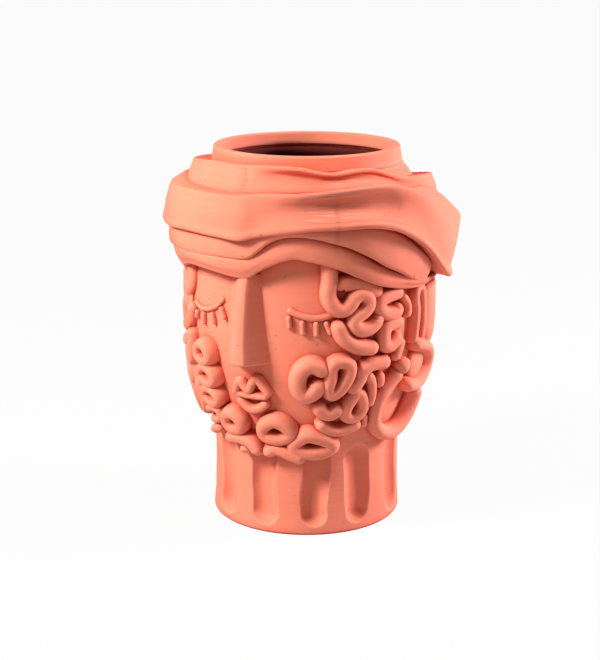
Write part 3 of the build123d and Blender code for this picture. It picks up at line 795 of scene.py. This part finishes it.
# The ones guessed on the hidden side are lower: degrees further round, and height
TEMPLE_RIGHT = {
    "strand": (10, 6.5), "cradle": (4, 8), "arch": (10, 6.5), "hook": (10, 6.5), "leaf": (4, 8),
}
for number, (key, (width, height, run)) in enumerate(TEMPLE.items()):
    node = "temple_%s_left" % key
    coil(node + "_clay", run, width, height, [node], seed=20 + number)
    if key in TEMPLE_RIGHT:
        shift, low_height = TEMPLE_RIGHT[key]
        node = "temple_%s_right" % key
        coil(node + "_clay", mirrored(run, shift), width - 1, low_height, [node], seed=40 + number)

# Cheek curls: name, width, height, whether the run closes on itself, and the run
CHEEK = {
    "horn": (17, 12.5, False, [
        (33.5, 160), (30.8, 168.5), (26.8, 171), (23, 166.5), (21.1, 158), (21.5, 148.5), (24.2, 142.8),
        (28.2, 146), (30.4, 152.5), (31, 159),
    ]),
    "petal": (14, 11.5, True, [
        (36.3, 167.5), (35.9, 158), (35.2, 149.4), (36.8, 143), (40, 146), (43, 153.5), (44.9, 162.3),
        (44.5, 169.5), (41.3, 173), (38, 172),
    ]),
    "bough": (14.5, 11, False, [
        (66.5, 166.5), (60.5, 167.6), (55, 167), (51.5, 162.5), (50.2, 155.3), (47.6, 148.2),
        (44.8, 142.5),
    ]),
    "rib": (10.5, 10, False, [(60.4, 158.5), (61.6, 151.8), (61, 143)]),
    "cup": (14, 11, False, [(30.5, 137), (31.6, 128), (35.6, 123.3), (39.6, 126), (41.8, 133)]),
    "kernel": (13, 10.5, True, [
        (50, 141.5), (47.2, 136.5), (45, 129), (44.6, 121.5), (47.9, 117.5), (51.5, 119.5),
        (53.8, 126.6), (52.6, 136.5),
    ]),
    "sweep": (12, 11, False, [
        (30.5, 117.5), (33.7, 111), (39, 106), (44.9, 106.3), (49.7, 109.3), (54, 113.2),
    ]),
}
curls("cheek", CHEEK, first_seed=60)
CHEEK_WING = [(52.8, 160.5), (56.2, 152.7), (57.4, 142.5), (57.3, 133.6), (56, 126.5)]
CHEEK_TIP = [(55.2, 121), (56.3, 111.5), (56.6, 105)]
coil("cheek_wing_clay", CHEEK_WING, 10.5, 10.5, [], seed=70)
coil("cheek_tip_clay", CHEEK_TIP, 8, 8.5, [], seed=71)

# Chin curls, which stand out furthest
CHIN = {
    "left_ring": (13.8, 13.5, True, [
        (-17.8, 102), (-20.6, 108), (-18.6, 116), (-14, 117.3), (-10.5, 111), (-12, 103.2),
    ]),
    "arch": (14.5, 13.5, False, [
        (-21.5, 84), (-20.8, 89), (-17, 92.2), (-12, 93), (-6.5, 90.5), (-3.2, 84), (-2.4, 76.5),
    ]),
    "tongue": (13, 12, False, [(-14, 85), (-10.5, 81.5), (-9.2, 76.5)]),
    "middle_ring": (14.5, 13.5, True, [
        (2.2, 107.5), (5, 113.5), (9.5, 116.5), (14.2, 112.5), (17, 105), (12.9, 99.2), (7.6, 98.3),
        (3, 101),
    ]),
    "wave": (15, 13.5, False, [
        (4.5, 76.5), (4.8, 83), (7.8, 87), (11.5, 86), (16.1, 82.6), (20.5, 79.5), (25.5, 77.8),
    ]),
    "right_ring": (16, 13, True, [
        (18.3, 91.5), (21, 98.5), (25.5, 102.5), (31, 100.5), (36.5, 96), (38.8, 90), (34.3, 84.8),
        (27, 83.8), (21.3, 86),
    ]),
}
curls("chin", CHIN, first_seed=80)

# The column of curls down the face's right cheek, with a second row behind it
COLUMN = {
    "first": (12, 13, True, [
        (-34, 166), (-33.3, 174), (-29.5, 178), (-25.8, 174), (-25.3, 166), (-29, 161.8),
    ]),
    "second": (12, 13, True, [
        (-34.3, 146.5), (-33, 153.5), (-28.5, 157), (-24.2, 153), (-23.7, 146), (-28, 141.6),
    ]),
    "third": (12, 13, True, [
        (-34.6, 127), (-33.5, 133.5), (-28.5, 136.8), (-23.8, 133.2), (-23.3, 127), (-28, 122),
    ]),
    "fourth": (10.5, 12.5, False, [
        (-36, 112), (-31.5, 117), (-25.5, 117.5), (-24, 111.5), (-28.5, 106.3), (-34.5, 106),
    ]),
    "outer_top": (13, 10, False, [(-45, 186), (-44, 172), (-46.5, 158), (-52, 150)]),
    "outer_low": (13, 10, False, [(-44, 140), (-43, 126), (-44.5, 112), (-49, 104)]),
    "outer_ring": (12, 10, True, [
        (-63, 133), (-63, 144), (-59, 148), (-55, 143), (-55, 134), (-59, 129.5),
    ]),
}
curls("column", COLUMN, first_seed=100)
COLUMN_FIFTH = [(-26, 101), (-31, 95.5), (-35.5, 92), (-36.5, 86)]
coil("column_fifth_clay", COLUMN_FIFTH, 11, 12, [], seed=110)

# Low beds of clay under the temple coils and the column
TEMPLE_BED = [(-55, 262), (-55, 240), (-54.5, 220), (-53, 200), (-53, 182), (-54, 164)]
COLUMN_BED = [(-52, 168), (-52, 152), (-51, 136), (-48, 122), (-45, 110)]
coil("temple_bed_clay", TEMPLE_BED, 33, 4, [], seed=111)
coil("column_bed_clay", COLUMN_BED, 24, 7.5, [], seed=112)


def wedge(name, rows, nodes):
    """Nose on the skin.

    A row is a height, the angles of the left foot, left ridge, right ridge and right foot, and a lift.
    """
    vertices = []
    levels = span(rows[0][0], rows[-1][0], 1.6)
    for level in levels:
        left, ridge_left, ridge_right, right, lift = curve_at(rows, level)
        left_slope, right_slope = ridge_left - left, right - ridge_right
        across = soften([
            (left - 6, -3), (left - 3, 0.2), (left + left_slope * 0.25, lift * 0.30),
            (left + left_slope * 0.68, lift * 0.70), (ridge_left + 0.6, lift * 0.93),
            (ridge_left + 2.6, lift), (ridge_right - 0.6, lift), (ridge_right + 0.35, lift * 0.95),
            (ridge_right + right_slope * 0.5, lift * 0.5), (right, 0.2), (right + 1.5, -3),
        ], rounds=2)
        vertices += [place(angle, skin_radius(level) + proud, level) for angle, proud in across]
    faces = grid_faces(len(levels), len(across), closed_columns=True)
    faces += end_faces(len(levels), len(across))
    make_piece(name, vertices, faces, nodes, CLAY)


# Nose: height, angles of the left foot, left ridge, right ridge and right foot, and its lift
NOSE = (
    (169.5, -12.6, -6.8, -0.4, 8.0, 21), (173, -12.2, -6.6, -0.4, 7.7, 21.5),
    (190, -11.4, -6.3, -0.6, 6.6, 20.2), (212, -10.4, -5.9, -0.7, 5.3, 17.8),
    (236, -9.2, -5.3, -0.9, 4.0, 14), (250, -8.6, -5.0, -1.0, 3.3, 11),
)
wedge("nose_clay", NOSE, ["nose"])

# Eyes: a raised lid each, as width, height and run
EYELIDS = {
    "right": (4.6, 3, [
        (-41.5, 212.5), (-36, 208.5), (-30, 208.8), (-24.5, 212), (-20, 217), (-16.8, 223.5),
    ]),
    "left": (6.2, 3.6, [(16.2, 220.5), (19.5, 216.8), (23, 214.2), (28, 212.2), (33, 213.2), (38, 216)]),
}
for number, (side, (width, height, run)) in enumerate(EYELIDS.items()):
    node = "eyelid_" + side
    coil(node + "_clay", run, width, height, [node], sink=2, flat=2.2, seed=120 + number)

# Lashes under each lid, as a width and the two ends of each lash
LASHES = {
    "right": (4.6, [
        ((-38.2, 205.5), (-38.8, 196.5)), ((-31.8, 205.5), (-31.6, 194)), ((-24.8, 208.5), (-23, 197)),
        ((-18.6, 215.5), (-15.6, 204)),
    ]),
    "left": (5.6, [
        ((16.8, 215), (17.4, 202)), ((23.0, 211), (23.6, 197)), ((29.4, 210), (29.6, 195.5)),
        ((33.6, 210), (36.2, 197)),
    ]),
}
LASH_HEIGHT = 4.4
for side, (width, lashes) in LASHES.items():
    for number, (top, tip) in enumerate(lashes):
        middle = tuple((a + b) / 2 for a, b in zip(top, tip))
        coil(
            "eyelash_%s_%d_clay" % (side, number + 1), [top, middle, tip], width, LASH_HEIGHT,
            ["eyelashes_" + side] if number == 0 else [], sink=2, flat=2.2, seed=130 + number,
        )

# Ears: two upright ridges joined at the top, a rolled lobe, the dish inside it, and a band behind them
EAR_RIM = [
    (82.6, 176), (83.6, 186), (84.2, 197), (84.2, 210), (83.4, 219), (84.8, 226.5), (89, 227),
    (91.4, 218), (92, 207), (92, 193), (91, 181), (90, 174),
]
EAR_LOBE = [
    (82, 177, 1), (88, 173.5, 2), (95, 169, 3), (101, 163, 3.5), (105.5, 154, 4), (106, 144, 4),
    (102, 136, 3), (95, 132.5, 2), (87.5, 134.5, 1.5), (81, 139, 1),
]
EAR_DISH = [(95.4, 177), (96, 167), (96.2, 158), (96.2, 149), (95.6, 140), (94.6, 131)]
EAR_BAND = [(110, 232), (110.5, 215), (110, 195), (108, 178), (104, 163)]

# Hoops: the middle's angle and height, the radius, the lift with its tilt, and the head's radius there
HOOP_ANGLE = 78
HOOP_LEVEL = 121
HOOP_RADIUS = 29.5
HOOP_LIFT = 3.5
HOOP_TILT = 2
HOOP_HEAD_RADIUS = 105


def hoop_point(turn):
    """Point of a hoop at a turn in degrees round its middle, with its lift."""
    across = degrees(HOOP_RADIUS / HOOP_HEAD_RADIUS) * cos(radians(turn))
    rise = HOOP_RADIUS * sin(radians(turn))
    return (HOOP_ANGLE + across, HOOP_LEVEL + rise, HOOP_LIFT + HOOP_TILT * cos(radians(turn)))


# A hoop comes down from the lobe before its arc starts, and a ball sits on that end
HOOP = [(74, 157.5, 3), (71.6, 151, 2), (67.6, 144, 1)]
HOOP += [hoop_point(turn) for turn in range(155, 385, 15)]
HOOP_BALL = [(76.6, 166, 3), (75.6, 162.5, 3.6), (74, 157.5, 3.2), (72.6, 153.5, 2.4)]

# Parts of an ear: run, width, height, depth under the skin, flatness, and whether it stands for a node
EAR_PARTS = {
    "ear_rim": (EAR_RIM, 9.4, 10, 4, 2.8, True),
    "ear_band": (EAR_BAND, 38, 12, 4, 2.2, False),
    "ear_lobe": (EAR_LOBE, 14, 12, 8, 2.1, True),
    "ear_dish": (EAR_DISH, 46, 7.5, 8, 2.2, False),
    "ear_hoop": (HOOP, 14.5, 10.5, 8, 2.1, True),
    "hoop_ball": (HOOP_BALL, 16.4, 11.5, 6, 2, False),
}
for side in ("left", "right"):
    for number, (key, (run, width, height, sink, flat, has_node)) in enumerate(EAR_PARTS.items()):
        node = "%s_%s" % (key, side)
        coil(
            node + "_clay", run if side == "left" else mirrored(run, 0), width, height,
            [node] if has_node else [], sink=sink, flat=flat, seed=140 + number,
        )

# Mouth: width, height and run
LIPS = {
    "lip_upper": (8.8, 8, [
        (-12, 136), (-10.6, 143), (-8.4, 150.5), (-6, 146), (-3.6, 143), (-1.5, 150), (1.2, 154.5),
        (4.2, 148), (7.5, 139),
    ]),
    "lip_middle": (7.2, 7.5, [(-11.6, 138), (-6, 138), (0, 138), (6.8, 138.5)]),
    "lip_lower": (9.4, 8, [(-10.6, 135), (-8.2, 130), (-5, 125), (-1.5, 124.5), (2.5, 128), (6, 134)]),
}
for number, (key, (width, height, run)) in enumerate(LIPS.items()):
    coil(key + "_clay", run, width, height, [] if key == "lip_middle" else [key], seed=150 + number)

# Straight locks of hair round the nape
LOCK_COUNT = 20
LOCK_STEP = 7.2
LOCK_WIDTH = 16.5
LOCK_HEIGHT = 12
LOCK_TOP = 229
LOCK_END = 174
for number in range(LOCK_COUNT):
    angle = 180 + (number - (LOCK_COUNT - 1) / 2) * LOCK_STEP
    sway = 0.6 * sin(number * 2.2)
    run = [
        (angle, LOCK_TOP), (angle + sway, 205), (angle - sway * 0.6, 186),
        (angle + sway * 0.3, LOCK_END + 2 * sin(number * 1.4)),
    ]
    coil(
        "nape_lock_%02d_clay" % (number + 1), run, LOCK_WIDTH, LOCK_HEIGHT,
        ["nape_locks"] if number == 0 else [], seed=160 + number,
    )


# Share of the stage's own white that the camera sees, and how grey the floor is to the light
WHITE_SHARE = 0.96
FLOOR_GREY = 0.40
FLOOR_HALF = 24.0


def stage_white(name, level):
    """Plain material of the stage: nearly white to the camera, and grey to the light."""
    material = bpy.data.materials.new(name)
    material.use_nodes = True
    nodes, links = material.node_tree.nodes, material.node_tree.links
    shader = nodes["Principled BSDF"]
    shader.inputs["Base Color"].default_value = grey(level)
    shader.inputs["Roughness"].default_value = 0.9
    glow = nodes.new("ShaderNodeEmission")
    glow.inputs["Color"].default_value = WHITE
    glow.inputs["Strength"].default_value = 1.0
    seen = nodes.new("ShaderNodeLightPath")
    share = nodes.new("ShaderNodeMath")
    share.operation = "MULTIPLY"
    share.inputs[1].default_value = WHITE_SHARE
    links.new(seen.outputs["Is Camera Ray"], share.inputs[0])
    blend = nodes.new("ShaderNodeMixShader")
    links.new(share.outputs[0], blend.inputs[0])
    links.new(shader.outputs[0], blend.inputs[1])
    links.new(glow.outputs[0], blend.inputs[2])
    links.new(blend.outputs[0], nodes["Material Output"].inputs["Surface"])
    return material


# Floor
floor_mesh = bpy.data.meshes.new("floor")
floor_corners = [(x * FLOOR_HALF, y * FLOOR_HALF, 0) for x, y in ((-1, -1), (1, -1), (1, 1), (-1, 1))]
floor_mesh.from_pydata(floor_corners, [], [(0, 1, 2, 3)])
floor = bpy.data.objects.new("floor", floor_mesh)
bpy.context.scene.collection.objects.link(floor)
floor_mesh.materials.append(stage_white("floor_white", FLOOR_GREY))

# Sky: white to the camera, and a weak fill to the vase
FILL_STRENGTH = 0.09
world = bpy.data.worlds.new("studio")
bpy.context.scene.world = world
world.use_nodes = True
sky_nodes, sky_links = world.node_tree.nodes, world.node_tree.links
fill = sky_nodes["Background"]
fill.inputs["Color"].default_value = tint(1.0, 0.99, 0.985)
fill.inputs["Strength"].default_value = FILL_STRENGTH
backdrop = sky_nodes.new("ShaderNodeBackground")
backdrop.inputs["Color"].default_value = WHITE
backdrop.inputs["Strength"].default_value = 1.0
sky_path = sky_nodes.new("ShaderNodeLightPath")
sky_mix = sky_nodes.new("ShaderNodeMixShader")
sky_links.new(sky_path.outputs["Is Camera Ray"], sky_mix.inputs[0])
sky_links.new(fill.outputs[0], sky_mix.inputs[1])
sky_links.new(backdrop.outputs[0], sky_mix.inputs[2])
sky_links.new(sky_mix.outputs[0], sky_nodes["World Output"].inputs["Surface"])


# Place in metres that the lamps look at
LAMP_TARGET = Vector((0, 0, 0.18))


def softbox(name, angle, elevation, distance, size, power, colour):
    """Square area lamp that looks at the middle of the vase; distance and size in metres."""
    data = bpy.data.lights.new(name, "AREA")
    data.shape = "SQUARE"
    data.size = size
    data.energy = power
    data.color = colour
    lamp = bpy.data.objects.new(name, data)
    a, e = radians(angle), radians(elevation)
    towards_lamp = Vector((sin(a) * cos(e), -cos(a) * cos(e), sin(e)))
    lamp.location = LAMP_TARGET + towards_lamp * distance
    lamp.rotation_euler = (LAMP_TARGET - lamp.location).to_track_quat("-Z", "Y").to_euler()
    bpy.context.scene.collection.objects.link(lamp)


softbox("key", angle=-36, elevation=38, distance=1.9, size=0.5, power=60, colour=(1.0, 0.97, 0.965))
softbox("rim", angle=121, elevation=24, distance=1.6, size=0.5, power=44, colour=(1.0, 0.89, 0.97))
softbox("front", angle=30, elevation=16, distance=2.4, size=1.2, power=3.5, colour=(1.0, 0.97, 0.95))

# Camera fitted to the rims and the silhouettes: place in millimetres, and turns in degrees
CAMERA_PLACE = (585.6, -1255.9, 543.7)
CAMERA_AZIMUTH = 25.0
CAMERA_PITCH = 15.0
CAMERA_YAW = 0.253
CAMERA_LENS = 82.6
camera_data = bpy.data.cameras.new("camera")
camera_data.sensor_width = 36
camera_data.lens = CAMERA_LENS
camera_data.clip_end = 50
camera = bpy.data.objects.new("camera", camera_data)
bpy.context.scene.collection.objects.link(camera)
camera.location = Vector(CAMERA_PLACE) * MM
camera.rotation_euler = (radians(90 - CAMERA_PITCH), 0, radians(CAMERA_AZIMUTH + CAMERA_YAW))
bpy.context.scene.camera = camera

bpy.context.scene.view_settings.view_transform = "Standard"
